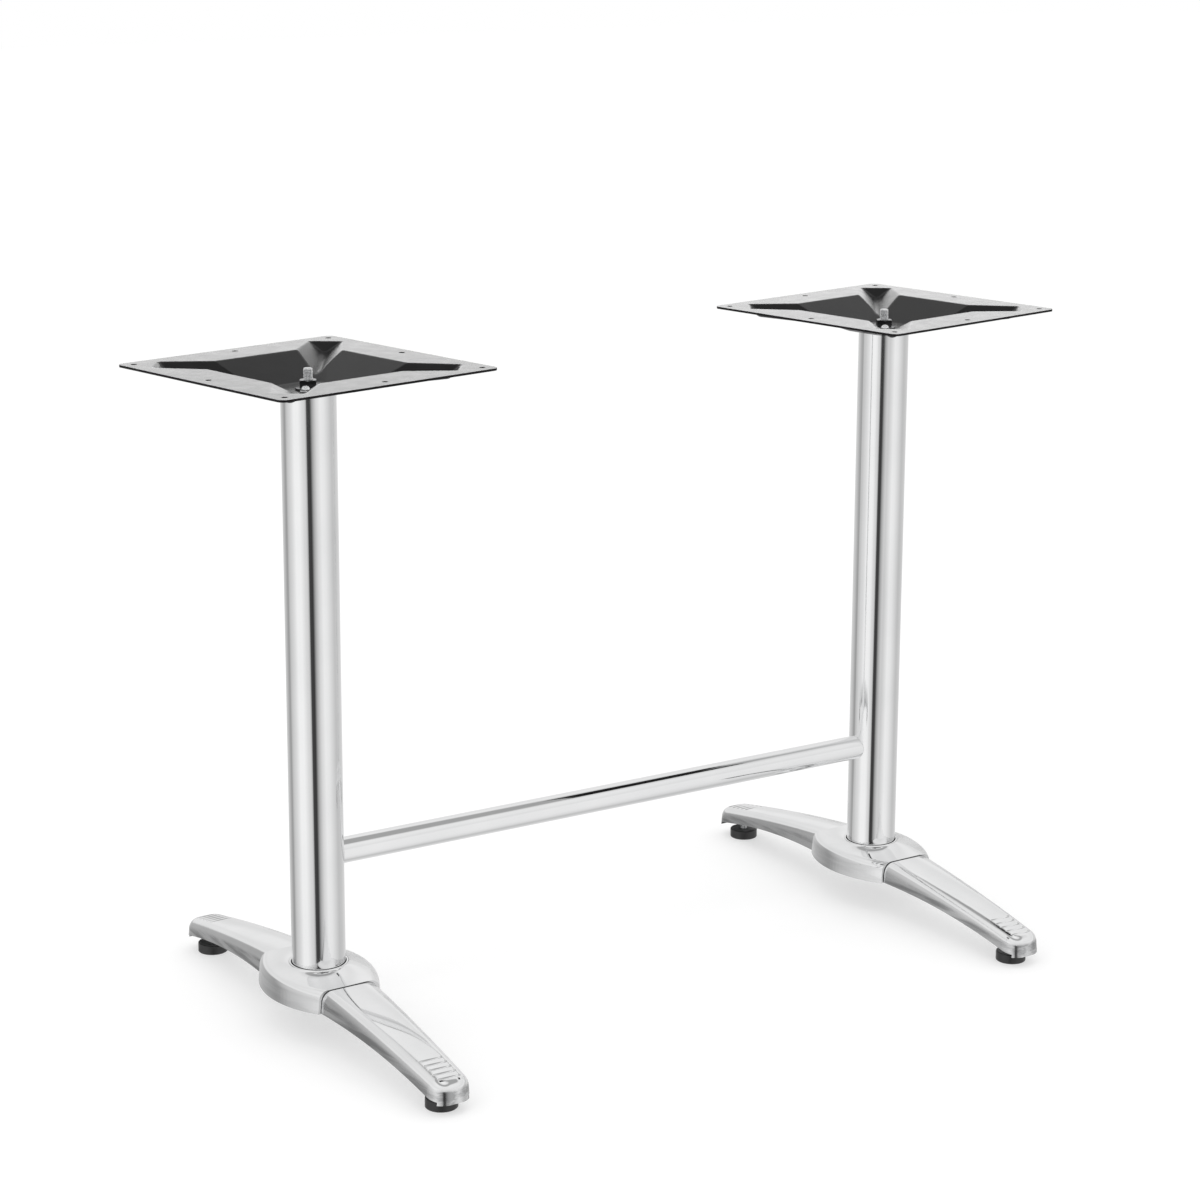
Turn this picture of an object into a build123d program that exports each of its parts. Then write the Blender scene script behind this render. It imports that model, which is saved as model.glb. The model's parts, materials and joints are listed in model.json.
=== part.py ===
from build123d import *
import math
import os

os.makedirs("parts", exist_ok=True)

# Dining table base: two cast pedestals joined by a stretcher, each with a pressed top plate.
# Millimetres, +Z up. The origin is on the floor, midway between the two columns.
# +X runs along the stretcher from the left column to the right one, and -Y is the front.

# Main sizes
base_height = 720.0  # floor to the top of the plate flanges
column_spacing = 755.0  # between the two column axes
column_diameter = 58.0
column_wall = 2.0
stretcher_height = 191.0  # floor to the stretcher's axis
stretcher_diameter = 28.0
stretcher_wall = 1.5

# Top plate: a square sheet pressed into a pan with four channels on its diagonals
plate_side = 280.0
plate_corner = 8.0
plate_turn = 10.0  # degrees that each plate is turned about its column
sheet = 2.5
pan_depth = 24.0  # flange top to the floor of the pan
pan_half = 88.0  # centre to the inner edge of the flange at mid side
pan_corner = 12.0
floor_half = 36.0  # half side of the flat floor
floor_corner = 20.0
channel_reach = 157.0  # centre to a channel's end, along the diagonal
channel_end_width = 36.0
channel_root_width = 62.0
channel_end_depth = 9.5
channel_wall_slope = 40.0  # degrees, end wall of a channel
channel_valley = 9.0  # rounding along the bottom of a channel
crease_radius = 8.0  # where the walls of the pan meet
rim_bend = 6.0  # from the flange into the pan, on the upper face
flange_hole = 6.5
corner_hole_inset = 13.0  # from both edges of the plate
side_hole_inset = 15.0  # from the nearest edge

# Clamping hardware on the column axis
rod_diameter = 10.0
rod_clearance = 0.3  # all round, in the holes that the rod passes through
rod_below_flange = 2.0  # the rod ends this far below the flange top
rod_tail = 2.0  # the rod passes this far through the lower nut
nut_across = 17.0
nut_height = 8.0
washer_diameter = 27.0
washer_thickness = 2.0
thread_clearance = 0.02  # all round, between a thread and its tapped hole

# Column cap and the screw that keeps the plate from turning
cap_length = 24.0
slip = 0.05  # all round, for a plug in a tube and a tube in its socket
screw_diameter = 5.0
screw_length = 14.0  # in the pan floor and the cap
screw_head_diameter = 9.6
screw_head_height = 5.0
screw_head_rim = 1.4  # straight side below the dome
screw_washer_diameter = 12.0
screw_washer_thickness = 2.0
screw_offset = 20.0  # from the column axis, on the front left diagonal
spare_hole_offset = 22.0  # from the column axis, on the front side
spare_hole = 5.5

# Foot hub
hub_half_width = 58.0  # column axis to the side of the hub, at the rim
seam_reach = 68.0  # column axis to the seam with an arm
seam_half_width = 37.5  # at the rim
rim_height = 41.0  # floor to the rim of the hub
hub_top = 66.0
cast_draft = 5.0  # degrees, on the sides of the castings
cast_wall = 6.0
shoulder_radius = 9.0
collar_radius = 31.5
collar_height = 72.0
flare_radius = 63.0  # where the flare runs out into the top of the hub
socket_bevel = 0.8
socket_floor = 56.0
boss_radius = 37.0
boss_thickness = 6.0  # below the socket
hub_ceiling = 57.0

# Foot arm
arm_step = 0.8  # the top of the hub stands this far proud of an arm at the seam
arm_side_step = 2.5  # and its sides this far
arm_reach = 289.0  # column axis to the tip of the nose
arm_middle_top = 52.6  # halfway from the seam to the nose
arm_middle_low = 35.5
seam_low = 42.0
nose_top = 34.5
nose_low = 16.5
nose_half_width = 22.8  # at the underside
nose_corner = 21.0
nose_lip = 3.5  # the lip hangs this far below the underside
nose_lip_length = 6.0
edge_radius = 12.5
end_wall = 8.0  # closed end of the arm at the seam
tongue_length = 26.0  # of the arm under the hub
tongue_half_width = 21.0
tongue_thickness = 8.0
groove_count = 5
groove_pitch = 9.0
groove_inset = 14.0  # tip of the nose to the last groove
groove_radius = 3.2
groove_depth = 1.2
groove_half_length = 11.5

# Bolts that hold the arms under the hub
bolt_diameter = 8.0
bolt_length = 13.0
bolt_head_across = 13.0
bolt_head_height = 5.3
bolt_spacing = 26.0  # between the two bolts of an arm
bolt_reach = 54.0  # column axis to the bolts

# Levelling glides
glide_inset = 29.0  # tip of the nose to the axis of the glide
pad_diameter = 34.0
pad_height = 11.0
pad_edge = 1.5
stud_diameter = 8.0
stud_clearance = 0.05  # all round, between a stud and its boss
stud_seat = 4.0  # floor to the lower end of the stud, inside the pad
stud_top = 30.0
stud_boss_radius = 9.0
stud_boss_low = 16.0
stud_hole_top = 33.5

# Stretcher fixing inside the columns
cope_gap = 0.1  # between the stretcher's coped end and the column
plug_length = 32.0
fixing_diameter = 8.0
fixing_engagement = 18.0  # in the plug
fixing_head_diameter = 14.0
fixing_head_height = 4.4
saddle_diameter = 20.0
saddle_flat = 2.6  # least thickness of the saddle washer

# Places that follow from those sizes
column_radius = column_diameter / 2
column_bore = column_radius - column_wall
stretcher_radius = stretcher_diameter / 2
stretcher_bore = stretcher_radius - stretcher_wall
half_spacing = column_spacing / 2
pan_floor = base_height - pan_depth
column_top = pan_floor - sheet
rod_top = base_height - rod_below_flange
boss_low = socket_floor - boss_thickness
rod_bottom = boss_low - washer_thickness - nut_height - rod_tail
draft_slope = math.tan(math.radians(cast_draft))
arm_middle = (seam_reach + arm_reach) / 2
glide_reach = arm_reach - glide_inset
last_groove = arm_reach - groove_inset
diagonals = (45, 135, 225, 315)
screw_diagonal = diagonals[2]  # front left


def across_diagonal(angle, reach):
    """Upright plane square to a diagonal of the plate, with its own y axis up."""
    turn = math.radians(angle)
    outward = (math.cos(turn), math.sin(turn), 0)
    return Plane(
        origin=(reach * outward[0], reach * outward[1], 0),
        x_dir=(-outward[1], outward[0], 0),
        z_dir=outward,
    )


# Hollow of the pan, with the flange top at z = 0: a drafted square well and four V channels
with BuildPart() as pan_hollow:
    with BuildSketch(Plane.XY):
        RectangleRounded(2 * pan_half, 2 * pan_half, pan_corner)
    with BuildSketch(Plane.XY.offset(-pan_depth)):
        RectangleRounded(2 * floor_half, 2 * floor_half, floor_corner)
    loft()
    for angle in diagonals:
        with BuildSketch(across_diagonal(angle, channel_reach)) as channel_end:
            half = channel_end_width / 2
            Polygon((-half, 0), (0, -channel_end_depth), (half, 0), align=None)
            fillet(channel_end.vertices().sort_by(Axis.Y)[0], channel_valley)
        with BuildSketch(across_diagonal(angle, floor_half)) as channel_root:
            half = channel_root_width / 2
            Polygon((-half, 0), (0, -pan_depth), (half, 0), align=None)
            fillet(channel_root.vertices().sort_by(Axis.Y)[0], channel_valley)
        loft()
    for angle in diagonals:
        turn = math.radians(angle)
        slope = math.radians(channel_wall_slope)
        end_wall_plane = Plane(
            origin=(channel_reach * math.cos(turn), channel_reach * math.sin(turn), 0),
            z_dir=(math.sin(slope) * math.cos(turn), math.sin(slope) * math.sin(turn), -math.cos(slope)),
        )
        split(bisect_by=end_wall_plane, keep=Keep.BOTTOM)
    mouth_edges = pan_hollow.faces().sort_by(Axis.Z)[-1].edges()
    fillet(pan_hollow.edges() - mouth_edges, crease_radius)

# Top plate: flange sheet and pan of one thickness, in the column's own frame
with BuildPart() as top_plate:
    with BuildSketch(Plane.XY.offset(base_height - sheet)):
        RectangleRounded(plate_side, plate_side, plate_corner)
    extrude(amount=sheet)
    with Locations((0, 0, base_height - sheet)):
        add(pan_hollow.part)
    with Locations((0, 0, base_height)):
        add(pan_hollow.part, mode=Mode.SUBTRACT)
    flange_top = top_plate.faces().filter_by(Axis.Z).sort_by(Axis.Z)[-1]
    fillet(flange_top.inner_wires()[0].edges(), rim_bend)
    flange_under = top_plate.faces().filter_by(Axis.Z).filter_by_position(
        Axis.Z, base_height - 1.5 * sheet, base_height - sheet / 2
    )
    fillet(flange_under[0].inner_wires()[0].edges(), rim_bend + sheet)
    corner_hole_spacing = plate_side - 2 * corner_hole_inset
    with BuildSketch(Plane.XY.offset(base_height)):
        with GridLocations(corner_hole_spacing, corner_hole_spacing, 2, 2):
            Circle(flange_hole / 2)
        with PolarLocations(plate_side / 2 - side_hole_inset, 4):
            Circle(flange_hole / 2)
    extrude(amount=-sheet, mode=Mode.SUBTRACT)
    with BuildSketch(Plane.XY.offset(pan_floor)):
        Circle(rod_diameter / 2 + rod_clearance)
        with PolarLocations(screw_offset, 1, start_angle=screw_diagonal):
            Circle(screw_diameter / 2 + rod_clearance)
        with Locations((0, -spare_hole_offset)):
            Circle(spare_hole / 2)
    extrude(amount=-sheet, mode=Mode.SUBTRACT)

# Column: tube from the socket in the hub up to the pan, with one hole for the stretcher bolt
with BuildPart() as column:
    with BuildSketch(Plane.XY.offset(socket_floor)):
        Circle(column_radius)
        Circle(column_bore, mode=Mode.SUBTRACT)
    extrude(amount=column_top - socket_floor)
    with BuildSketch(Plane.YZ):
        with Locations((0, stretcher_height)):
            Circle(fixing_diameter / 2 + rod_clearance)
    extrude(amount=column_diameter, mode=Mode.SUBTRACT)

# Column cap: plug in the top of the column, bored for the rod and the plate screw
with BuildPart() as column_cap:
    with BuildSketch(Plane.XY.offset(column_top)):
        Circle(column_bore - slip)
        Circle(rod_diameter / 2 + rod_clearance, mode=Mode.SUBTRACT)
        with PolarLocations(screw_offset, 1, start_angle=screw_diagonal + plate_turn):
            Circle(screw_diameter / 2 + thread_clearance, mode=Mode.SUBTRACT)
    extrude(amount=-cap_length)
    chamfer(column_cap.edges().group_by(Axis.Z)[0].sort_by(SortBy.LENGTH)[-1], column_wall / 2)

# Tie rod: clamps plate, column and hub together
with BuildPart() as tie_rod:
    with BuildSketch(Plane.XY.offset(rod_bottom)):
        Circle(rod_diameter / 2)
    extrude(amount=rod_top - rod_bottom)
    chamfer(tie_rod.edges().filter_by(GeomType.CIRCLE), rod_diameter / 10)


def clamp_nut(low):
    """Hexagon nut for the tie rod, standing at the given height."""
    with BuildPart() as nut:
        with BuildSketch(Plane.XY.offset(low)):
            RegularPolygon(radius=nut_across / 2, side_count=6, major_radius=False)
        extrude(amount=nut_height)
        with BuildSketch(Plane.XZ):
            with BuildLine():
                corner = nut_across / math.sqrt(3)
                bevel = (corner - nut_across / 2) * math.tan(math.radians(30))
                Polyline(
                    (0, low),
                    (nut_across / 2, low),
                    (corner, low + bevel),
                    (corner, low + nut_height - bevel),
                    (nut_across / 2, low + nut_height),
                    (0, low + nut_height),
                    close=True,
                )
            make_face()
        revolve(axis=Axis.Z, mode=Mode.INTERSECT)
        with BuildSketch(Plane.XY.offset(low)):
            Circle(rod_diameter / 2 + thread_clearance)
        extrude(amount=nut_height, mode=Mode.SUBTRACT)
    return nut.part


def clamp_washer(low):
    """Plain washer for the tie rod, lying at the given height."""
    with BuildPart() as washer:
        with BuildSketch(Plane.XY.offset(low)):
            Circle(washer_diameter / 2)
            Circle(rod_diameter / 2 + rod_clearance, mode=Mode.SUBTRACT)
        extrude(amount=washer_thickness)
    return washer.part


# Plate screw: domed head on a captive washer, in the frame of the plate
with BuildPart() as plate_screw:
    with BuildSketch(Plane.XZ):
        with BuildLine():
            head_low = pan_floor + screw_washer_thickness
            dome_rise = screw_head_height - screw_head_rim
            dome_radius = ((screw_head_diameter / 2) ** 2 + dome_rise**2) / (2 * dome_rise)
            dome_start = math.degrees(math.acos(screw_head_diameter / 2 / dome_radius))
            dome_centre = (0, head_low + screw_head_height - dome_radius)
            dome = CenterArc(dome_centre, dome_radius, dome_start, 90 - dome_start)
            Polyline(
                dome @ 1,
                (0, pan_floor - screw_length),
                (screw_diameter / 2, pan_floor - screw_length),
                (screw_diameter / 2, pan_floor),
                (screw_washer_diameter / 2, pan_floor),
                (screw_washer_diameter / 2, head_low),
                (screw_head_diameter / 2, head_low),
                dome @ 0,
            )
        make_face()
    revolve(axis=Axis.Z)

# Foot hub: drafted skirt with a round bulge on each side, a flared socket and a hollow underside
with BuildPart() as foot_hub:
    with BuildSketch(Plane.XY.offset(rim_height)) as hub_outline:
        overrun = seam_reach + 2 * cast_wall
        bulge = hub_half_width - seam_half_width
        bulge_radius = (seam_reach**2 + bulge**2) / (2 * bulge)
        with Locations((hub_half_width - bulge_radius, 0)):
            Circle(bulge_radius)
        with Locations((bulge_radius - hub_half_width, 0)):
            Circle(bulge_radius, mode=Mode.INTERSECT)
        Rectangle(2 * bulge_radius, 2 * overrun, mode=Mode.INTERSECT)
    extrude(amount=collar_height - rim_height, taper=cast_draft)
    split(bisect_by=Plane.XZ.offset(seam_reach), keep=Keep.BOTTOM)
    split(bisect_by=Plane.XZ.offset(-seam_reach), keep=Keep.TOP)
    with BuildSketch(Plane.XZ):
        with BuildLine():
            flare = EllipticalCenterArc(
                (flare_radius, collar_height),
                flare_radius - collar_radius,
                collar_height - hub_top,
                start_angle=180,
                arc_size=90,
            )
            Polyline(
                flare @ 1,
                (overrun, hub_top),
                (overrun, rim_height),
                (0, rim_height),
                (0, collar_height),
                flare @ 0,
            )
        make_face()
    revolve(axis=Axis.Z, mode=Mode.INTERSECT)
    shoulder_low = hub_top - shoulder_radius
    shoulders = foot_hub.edges().filter_by_position(Axis.Y, -seam_reach, seam_reach, inclusive=(False, False))
    shoulders = shoulders.filter_by_position(Axis.Z, shoulder_low, collar_height, inclusive=(False, False))
    fillet([edge for edge in shoulders if abs(edge.center().X) > collar_radius], shoulder_radius)

    with BuildSketch(Plane.XY.offset(rim_height)):
        add(hub_outline.sketch.face())
        offset(amount=-cast_wall)
    extrude(amount=hub_ceiling - rim_height, taper=cast_draft, mode=Mode.SUBTRACT)

    with BuildSketch(Plane.XY.offset(boss_low)):
        Circle(boss_radius)
    extrude(amount=hub_ceiling - boss_low)

    with BuildSketch(Plane.XY.offset(socket_floor)):
        Circle(column_radius + slip)
    extrude(amount=collar_height - socket_floor, mode=Mode.SUBTRACT)
    mouth = foot_hub.edges().filter_by(GeomType.CIRCLE).group_by(Axis.Z)[-1].sort_by(SortBy.LENGTH)[0]
    chamfer(mouth, socket_bevel)
    with BuildSketch(Plane.XY.offset(boss_low)):
        Circle(rod_diameter / 2 + rod_clearance)
    extrude(amount=boss_thickness, mode=Mode.SUBTRACT)
    with BuildSketch(Plane.XY.offset(hub_ceiling)):
        with GridLocations(bolt_spacing, 2 * bolt_reach, 2, 2):
            Circle(bolt_diameter / 2 + thread_clearance)
    extrude(amount=bolt_length - tongue_thickness, mode=Mode.SUBTRACT)

# Plan outline of an arm at floor level, before the draft narrows it
arm_root_half = seam_half_width - arm_side_step + rim_height * draft_slope
arm_nose_half = nose_half_width + nose_low * draft_slope
arm_nose_end = arm_reach + nose_low * draft_slope
arm_plan_start = seam_reach - 2 * hub_top * draft_slope


def arm_plan(inset):
    """Plan outline of an arm, drawn in by an inset, with rounded corners at the nose."""
    with BuildSketch() as outline:
        run = arm_nose_end - seam_reach
        start_half = arm_root_half + (arm_root_half - arm_nose_half) * (seam_reach - arm_plan_start) / run
        with BuildLine():
            Polyline(
                (-start_half, arm_plan_start),
                (start_half, arm_plan_start),
                (arm_nose_half, arm_nose_end),
                (-arm_nose_half, arm_nose_end),
                close=True,
            )
        make_face()
        fillet(outline.vertices().group_by(Axis.Y)[-1], nose_corner)
        if inset:
            offset(amount=-inset)
    return outline.sketch


# Hollow of an arm, with an island where the boss for the glide stays
with BuildPart() as arm_hollow:
    with BuildSketch(Plane.YZ):
        with BuildLine():
            ceiling = ThreePointArc(
                (seam_reach + end_wall, hub_top - arm_step - cast_wall),
                (arm_middle, arm_middle_top - cast_wall),
                (arm_reach - cast_wall, nose_top - cast_wall),
            )
            Polyline(ceiling @ 1, (arm_reach - cast_wall, 0), (seam_reach + end_wall, 0), ceiling @ 0)
        make_face()
    extrude(amount=hub_half_width, both=True)
    add(arm_plan(cast_wall))
    extrude(amount=hub_top, taper=cast_draft, mode=Mode.INTERSECT)
    with BuildSketch(Plane.XY.offset(stud_boss_low)):
        with Locations((0, glide_reach)):
            Circle(stud_boss_radius)
    extrude(amount=hub_top, mode=Mode.SUBTRACT)

# Foot arm, along +Y: arched top and underside, drafted sides, rounded nose with a short lip
with BuildPart() as foot_arm:
    with BuildSketch(Plane.YZ):
        with BuildLine():
            arm_top = ThreePointArc(
                (seam_reach, hub_top - arm_step),
                (arm_middle, arm_middle_top),
                (arm_reach, nose_top),
            )
            Polyline(
                arm_top @ 1,
                (arm_reach, nose_low - nose_lip),
                (arm_reach - nose_lip_length, nose_low - nose_lip),
                (arm_reach - nose_lip_length, nose_low),
            )
            underside = ThreePointArc(
                (arm_reach - nose_lip_length, nose_low), (arm_middle, arm_middle_low), (seam_reach, seam_low)
            )
            Line(underside @ 1, arm_top @ 0)
        make_face()
    extrude(amount=hub_half_width, both=True)
    add(arm_plan(0))
    extrude(amount=hub_top, taper=cast_draft, mode=Mode.INTERSECT)
    crown = foot_arm.faces().filter_by(GeomType.CYLINDER).sort_by(Axis.Z)[-1]
    fillet(crown.edges().sort_by(Axis.Y)[1:], edge_radius)
    add(arm_hollow.part, mode=Mode.SUBTRACT)

    with BuildSketch(Plane.XY.offset(hub_ceiling)):
        with Locations((0, seam_reach - tongue_length)):
            Rectangle(2 * tongue_half_width, tongue_length + end_wall, align=(Align.CENTER, Align.MIN))
    extrude(amount=-tongue_thickness)
    with BuildSketch(Plane.XY.offset(hub_ceiling)):
        with Locations((0, bolt_reach)):
            with GridLocations(bolt_spacing, 0, 2, 1):
                Circle(bolt_diameter / 2 + rod_clearance)
    extrude(amount=-tongue_thickness, mode=Mode.SUBTRACT)

    with BuildSketch(Plane.XY.offset(stud_boss_low)):
        with Locations((0, glide_reach)):
            Circle(stud_diameter / 2 + stud_clearance)
    extrude(amount=stud_hole_top - stud_boss_low, mode=Mode.SUBTRACT)

    # Grooves across the top near the nose, each a scoop with round ends square to the curved top
    top_centre = arm_top.arc_center
    for index in range(groove_count):
        reach = last_groove - index * groove_pitch
        tilt = math.asin((reach - top_centre.X) / arm_top.radius)
        lift = arm_top.radius + groove_radius - groove_depth
        axis_y = top_centre.X + lift * math.sin(tilt)
        axis_z = top_centre.Y + lift * math.cos(tilt)
        with Locations((0, axis_y, axis_z)):
            Cylinder(groove_radius, 2 * groove_half_length, rotation=(0, 90, 0), mode=Mode.SUBTRACT)
        with Locations((groove_half_length, axis_y, axis_z), (-groove_half_length, axis_y, axis_z)):
            Sphere(groove_radius, mode=Mode.SUBTRACT)

# Arm bolts: hexagon heads under the tongues, shanks up into the hub
with BuildPart() as arm_bolts:
    tongue_low = hub_ceiling - tongue_thickness
    bolt_places = GridLocations(bolt_spacing, 2 * bolt_reach, 2, 2)
    with BuildSketch(Plane.XY.offset(tongue_low)):
        with bolt_places:
            RegularPolygon(radius=bolt_head_across / 2, side_count=6, major_radius=False)
    extrude(amount=-bolt_head_height)
    with BuildSketch(Plane.XY.offset(tongue_low)):
        with bolt_places:
            Circle(bolt_diameter / 2)
    extrude(amount=bolt_length)

# Glide pad: moulded puck with a blind bore for the stud
with BuildPart() as glide_pad:
    with BuildSketch(Plane.XY):
        Circle(pad_diameter / 2)
    extrude(amount=pad_height)
    chamfer(glide_pad.edges().group_by(Axis.Z)[0], pad_edge / 2)
    fillet(glide_pad.edges().group_by(Axis.Z)[-1], pad_edge)
    with BuildSketch(Plane.XY.offset(stud_seat)):
        Circle(stud_diameter / 2)
    extrude(amount=pad_height - stud_seat, mode=Mode.SUBTRACT)

# Glide stud: threaded into the boss of the arm
with BuildPart() as glide_stud:
    with BuildSketch(Plane.XY.offset(stud_seat)):
        Circle(stud_diameter / 2)
    extrude(amount=stud_top - stud_seat)
    chamfer(glide_stud.edges().group_by(Axis.Z)[-1], stud_diameter / 10)

# Stretcher: tube along X, coped to the columns at both ends
with BuildPart() as stretcher:
    with BuildSketch(Plane.YZ):
        with Locations((0, stretcher_height)):
            Circle(stretcher_radius)
            Circle(stretcher_bore, mode=Mode.SUBTRACT)
    extrude(amount=half_spacing, both=True)
    with BuildSketch(Plane.XY.offset(stretcher_height - stretcher_diameter)):
        with GridLocations(column_spacing, 0, 2, 1):
            Circle(column_radius + cope_gap)
    extrude(amount=2 * stretcher_diameter, mode=Mode.SUBTRACT)

# Stretcher plug: tapped insert in a coped end, in the frame of the left column
with BuildPart() as stretcher_plug:
    with BuildSketch(Plane.YZ):
        with Locations((0, stretcher_height)):
            Circle(stretcher_bore - slip)
    extrude(amount=column_radius + plug_length)
    with BuildSketch(Plane.XY.offset(stretcher_height - stretcher_diameter)):
        Circle(column_radius + cope_gap)
    extrude(amount=2 * stretcher_diameter, mode=Mode.SUBTRACT)
    with BuildSketch(Plane.YZ):
        with Locations((0, stretcher_height)):
            Circle(fixing_diameter / 2 + thread_clearance)
    extrude(amount=column_radius + fixing_engagement, mode=Mode.SUBTRACT)

# Saddle washer: flat towards the bolt head, round towards the inside of the column
saddle_face = math.sqrt(column_bore**2 - (saddle_diameter / 2) ** 2) - saddle_flat
with BuildPart() as saddle_washer:
    with BuildSketch(Plane.YZ.offset(saddle_face)):
        with Locations((0, stretcher_height)):
            Circle(saddle_diameter / 2)
            Circle(fixing_diameter / 2 + rod_clearance, mode=Mode.SUBTRACT)
    extrude(amount=column_radius)
    with BuildSketch(Plane.XY.offset(stretcher_height - saddle_diameter)):
        Circle(column_bore - slip)
    extrude(amount=2 * saddle_diameter, mode=Mode.INTERSECT)

# Stretcher bolt: button head inside the column, shank through its wall into the plug
with BuildPart() as stretcher_bolt:
    with BuildSketch(Plane.YZ.offset(saddle_face)):
        with Locations((0, stretcher_height)):
            Circle(fixing_diameter / 2)
    extrude(amount=column_radius + fixing_engagement - thread_clearance - saddle_face)
    with BuildSketch(Plane.YZ.offset(saddle_face)):
        with Locations((0, stretcher_height)):
            Circle(fixing_head_diameter / 2)
    extrude(amount=-fixing_head_height)
    fillet(stretcher_bolt.edges().group_by(Axis.X)[0], fixing_head_height / 3)


def write(piece, node, place):
    """Put one piece in its place, label it and write its STEP file."""
    placed = piece.moved(place)
    placed.label = node
    export_step(placed, f"parts/{node}.step")


write(stretcher.part, "stretcher", Location((0, 0, 0)))

for side, axis_x, facing in (("left", -half_spacing, 0), ("right", half_spacing, 180)):
    upright = Location((axis_x, 0, 0))
    turned = Location((axis_x, 0, 0), (0, 0, plate_turn))
    inward = Location((axis_x, 0, 0), (0, 0, facing))
    screw_turn = Location((axis_x, 0, 0), (0, 0, plate_turn + screw_diagonal))
    screw_place = screw_turn * Location((screw_offset, 0, 0))

    write(top_plate.part, f"{side}_top_plate", turned)
    write(column_cap.part, f"{side}_column_cap", upright)
    write(plate_screw.part, f"{side}_plate_screw", screw_place)
    write(clamp_washer(pan_floor), f"{side}_top_washer", upright)
    write(clamp_nut(pan_floor + washer_thickness), f"{side}_top_nut", upright)
    write(tie_rod.part, f"{side}_tie_rod", upright)
    write(column.part, f"{side}_column", inward)
    write(foot_hub.part, f"{side}_foot_hub", upright)
    write(clamp_washer(boss_low - washer_thickness), f"{side}_base_washer", upright)
    write(clamp_nut(boss_low - washer_thickness - nut_height), f"{side}_base_nut", upright)
    write(arm_bolts.part, f"{side}_arm_bolts", upright)
    write(stretcher_plug.part, f"{side}_stretcher_plug", inward)
    write(saddle_washer.part, f"{side}_saddle_washer", inward)
    write(stretcher_bolt.part, f"{side}_stretcher_bolt", inward)

    for end, swing in (("rear", 0), ("front", 180)):
        arm_place = Location((axis_x, 0, 0), (0, 0, swing))
        glide_place = arm_place * Location((0, glide_reach, 0))
        write(foot_arm.part, f"{side}_{end}_arm", arm_place)
        write(glide_pad.part, f"{side}_{end}_glide_pad", glide_place)
        write(glide_stud.part, f"{side}_{end}_glide_stud", glide_place)
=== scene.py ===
import json
import math

import bpy
import bmesh
from mathutils import Matrix, Vector


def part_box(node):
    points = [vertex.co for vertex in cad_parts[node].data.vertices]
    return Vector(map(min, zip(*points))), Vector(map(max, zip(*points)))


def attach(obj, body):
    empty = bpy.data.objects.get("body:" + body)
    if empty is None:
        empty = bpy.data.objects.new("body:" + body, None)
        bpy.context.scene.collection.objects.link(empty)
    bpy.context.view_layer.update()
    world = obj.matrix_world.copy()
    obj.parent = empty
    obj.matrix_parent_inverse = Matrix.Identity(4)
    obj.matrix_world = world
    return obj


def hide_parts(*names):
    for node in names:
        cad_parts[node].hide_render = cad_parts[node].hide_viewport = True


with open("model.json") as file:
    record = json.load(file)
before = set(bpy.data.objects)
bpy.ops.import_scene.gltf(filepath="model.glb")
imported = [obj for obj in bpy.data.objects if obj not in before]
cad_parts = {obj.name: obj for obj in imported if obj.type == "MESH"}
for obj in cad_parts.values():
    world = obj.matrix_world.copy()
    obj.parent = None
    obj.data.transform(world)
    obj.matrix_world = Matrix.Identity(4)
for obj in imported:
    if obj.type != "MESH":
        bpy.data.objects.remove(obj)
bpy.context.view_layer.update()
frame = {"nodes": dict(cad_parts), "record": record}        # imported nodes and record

nodes = frame["nodes"]
sides = ("left", "right")
ends = ("rear", "front")
levels = ("top", "base")
print("frame loaded:", len(nodes), "nodes")


# camera, solved from the photograph's 1200 pixel frame
cameraValues = {
    "place": (-1.7887, -2.6886, 1.2408),
    "azimuth": -33.381,     # degrees, 0 looks along +Y
    "elevation": 13.10,
    "roll": 0.228,
    "frameSize": 1200,      # pixels
    "focal": 2980.0,        # pixels
    "axisRow": 540.0,       # pixel row that the optical axis meets
    "sensor": 36.0,         # mm
    "farClip": 100.0,       # metres
}


def makeCamera(v):
    data = bpy.data.cameras.new("photoCamera")
    data.sensor_width = v["sensor"]
    data.lens = v["focal"] / v["frameSize"] * v["sensor"]
    data.shift_y = (v["axisRow"] - v["frameSize"] / 2) / v["frameSize"]
    data.clip_end = v["farClip"]
    camera = bpy.data.objects.new("photoCamera", data)
    azimuth, elevation = math.radians(v["azimuth"]), math.radians(v["elevation"])
    back = Vector((
        math.sin(azimuth) * math.cos(elevation),
        -math.cos(azimuth) * math.cos(elevation),
        math.sin(elevation),
    ))
    right = (-back).cross(Vector((0, 0, 1))).normalized()
    up = right.cross(-back)
    roll = math.radians(v["roll"])
    rolledRight = right * math.cos(roll) + up * math.sin(roll)
    rolledUp = up * math.cos(roll) - right * math.sin(roll)
    turn = Matrix((rolledRight, rolledUp, back)).transposed().to_4x4()
    camera.matrix_world = Matrix.Translation(v["place"]) @ turn
    bpy.context.scene.collection.objects.link(camera)
    bpy.context.scene.camera = camera


makeCamera(cameraValues)
print("camera placed")


# small helpers for node trees
gridValues = {"rows": 6, "left": -2600, "across": 220, "down": -220}   # how new nodes are laid out


def addNode(tree, kind, **settings):
    # new nodes fill a grid in the editor, column by column
    column, row = divmod(len(tree.nodes), gridValues["rows"])
    node = tree.nodes.new(kind)
    node.location = (gridValues["left"] + column * gridValues["across"], row * gridValues["down"])
    for key, value in settings.items():
        setattr(node, key, value)
    return node


def feed(tree, node, name, value):
    # another node's socket is linked, a plain value is set on the socket itself
    if isinstance(value, bpy.types.NodeSocket):
        tree.links.new(value, node.inputs[name])
    else:
        node.inputs[name].default_value = value


def grey(shade):
    return (shade, shade, shade, 1.0)


def addCoord(tree, name):
    return addNode(tree, "ShaderNodeTexCoord").outputs[name]


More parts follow.
